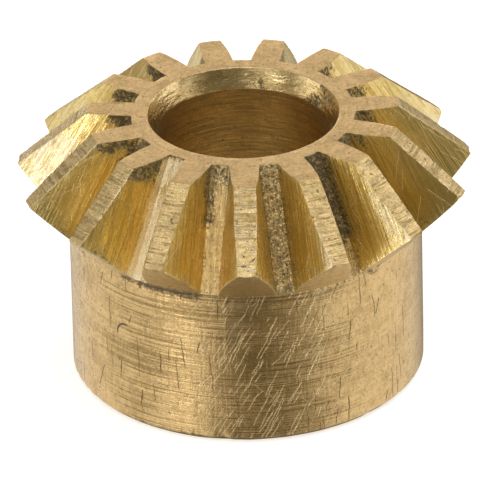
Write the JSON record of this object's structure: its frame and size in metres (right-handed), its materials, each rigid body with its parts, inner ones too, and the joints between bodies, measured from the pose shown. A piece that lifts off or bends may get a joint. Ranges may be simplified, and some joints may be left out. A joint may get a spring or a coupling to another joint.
{
  "type": "bevel gear",
  "caption": "Small straight-tooth brass mitre gear with a 45 degree pitch cone, a long plain hub and a round through bore, for turning a drive through a right angle.",
  "frame": {"origin": "centre of the bore at the hub's back face", "axes": "+Z along the bore from the hub's back face towards the nose, where the teeth are small; one tooth points along -Y"},
  "size_m": [0.0132, 0.0131, 0.008],
  "materials": {
    "brass": "satin machined brass, lightly tarnished, with turning lines on the hub and milling streaks in the tooth spaces"
  },
  "bodies": {
    "root": {"bevel_gear": "brass"}
  },
  "joints": []
}
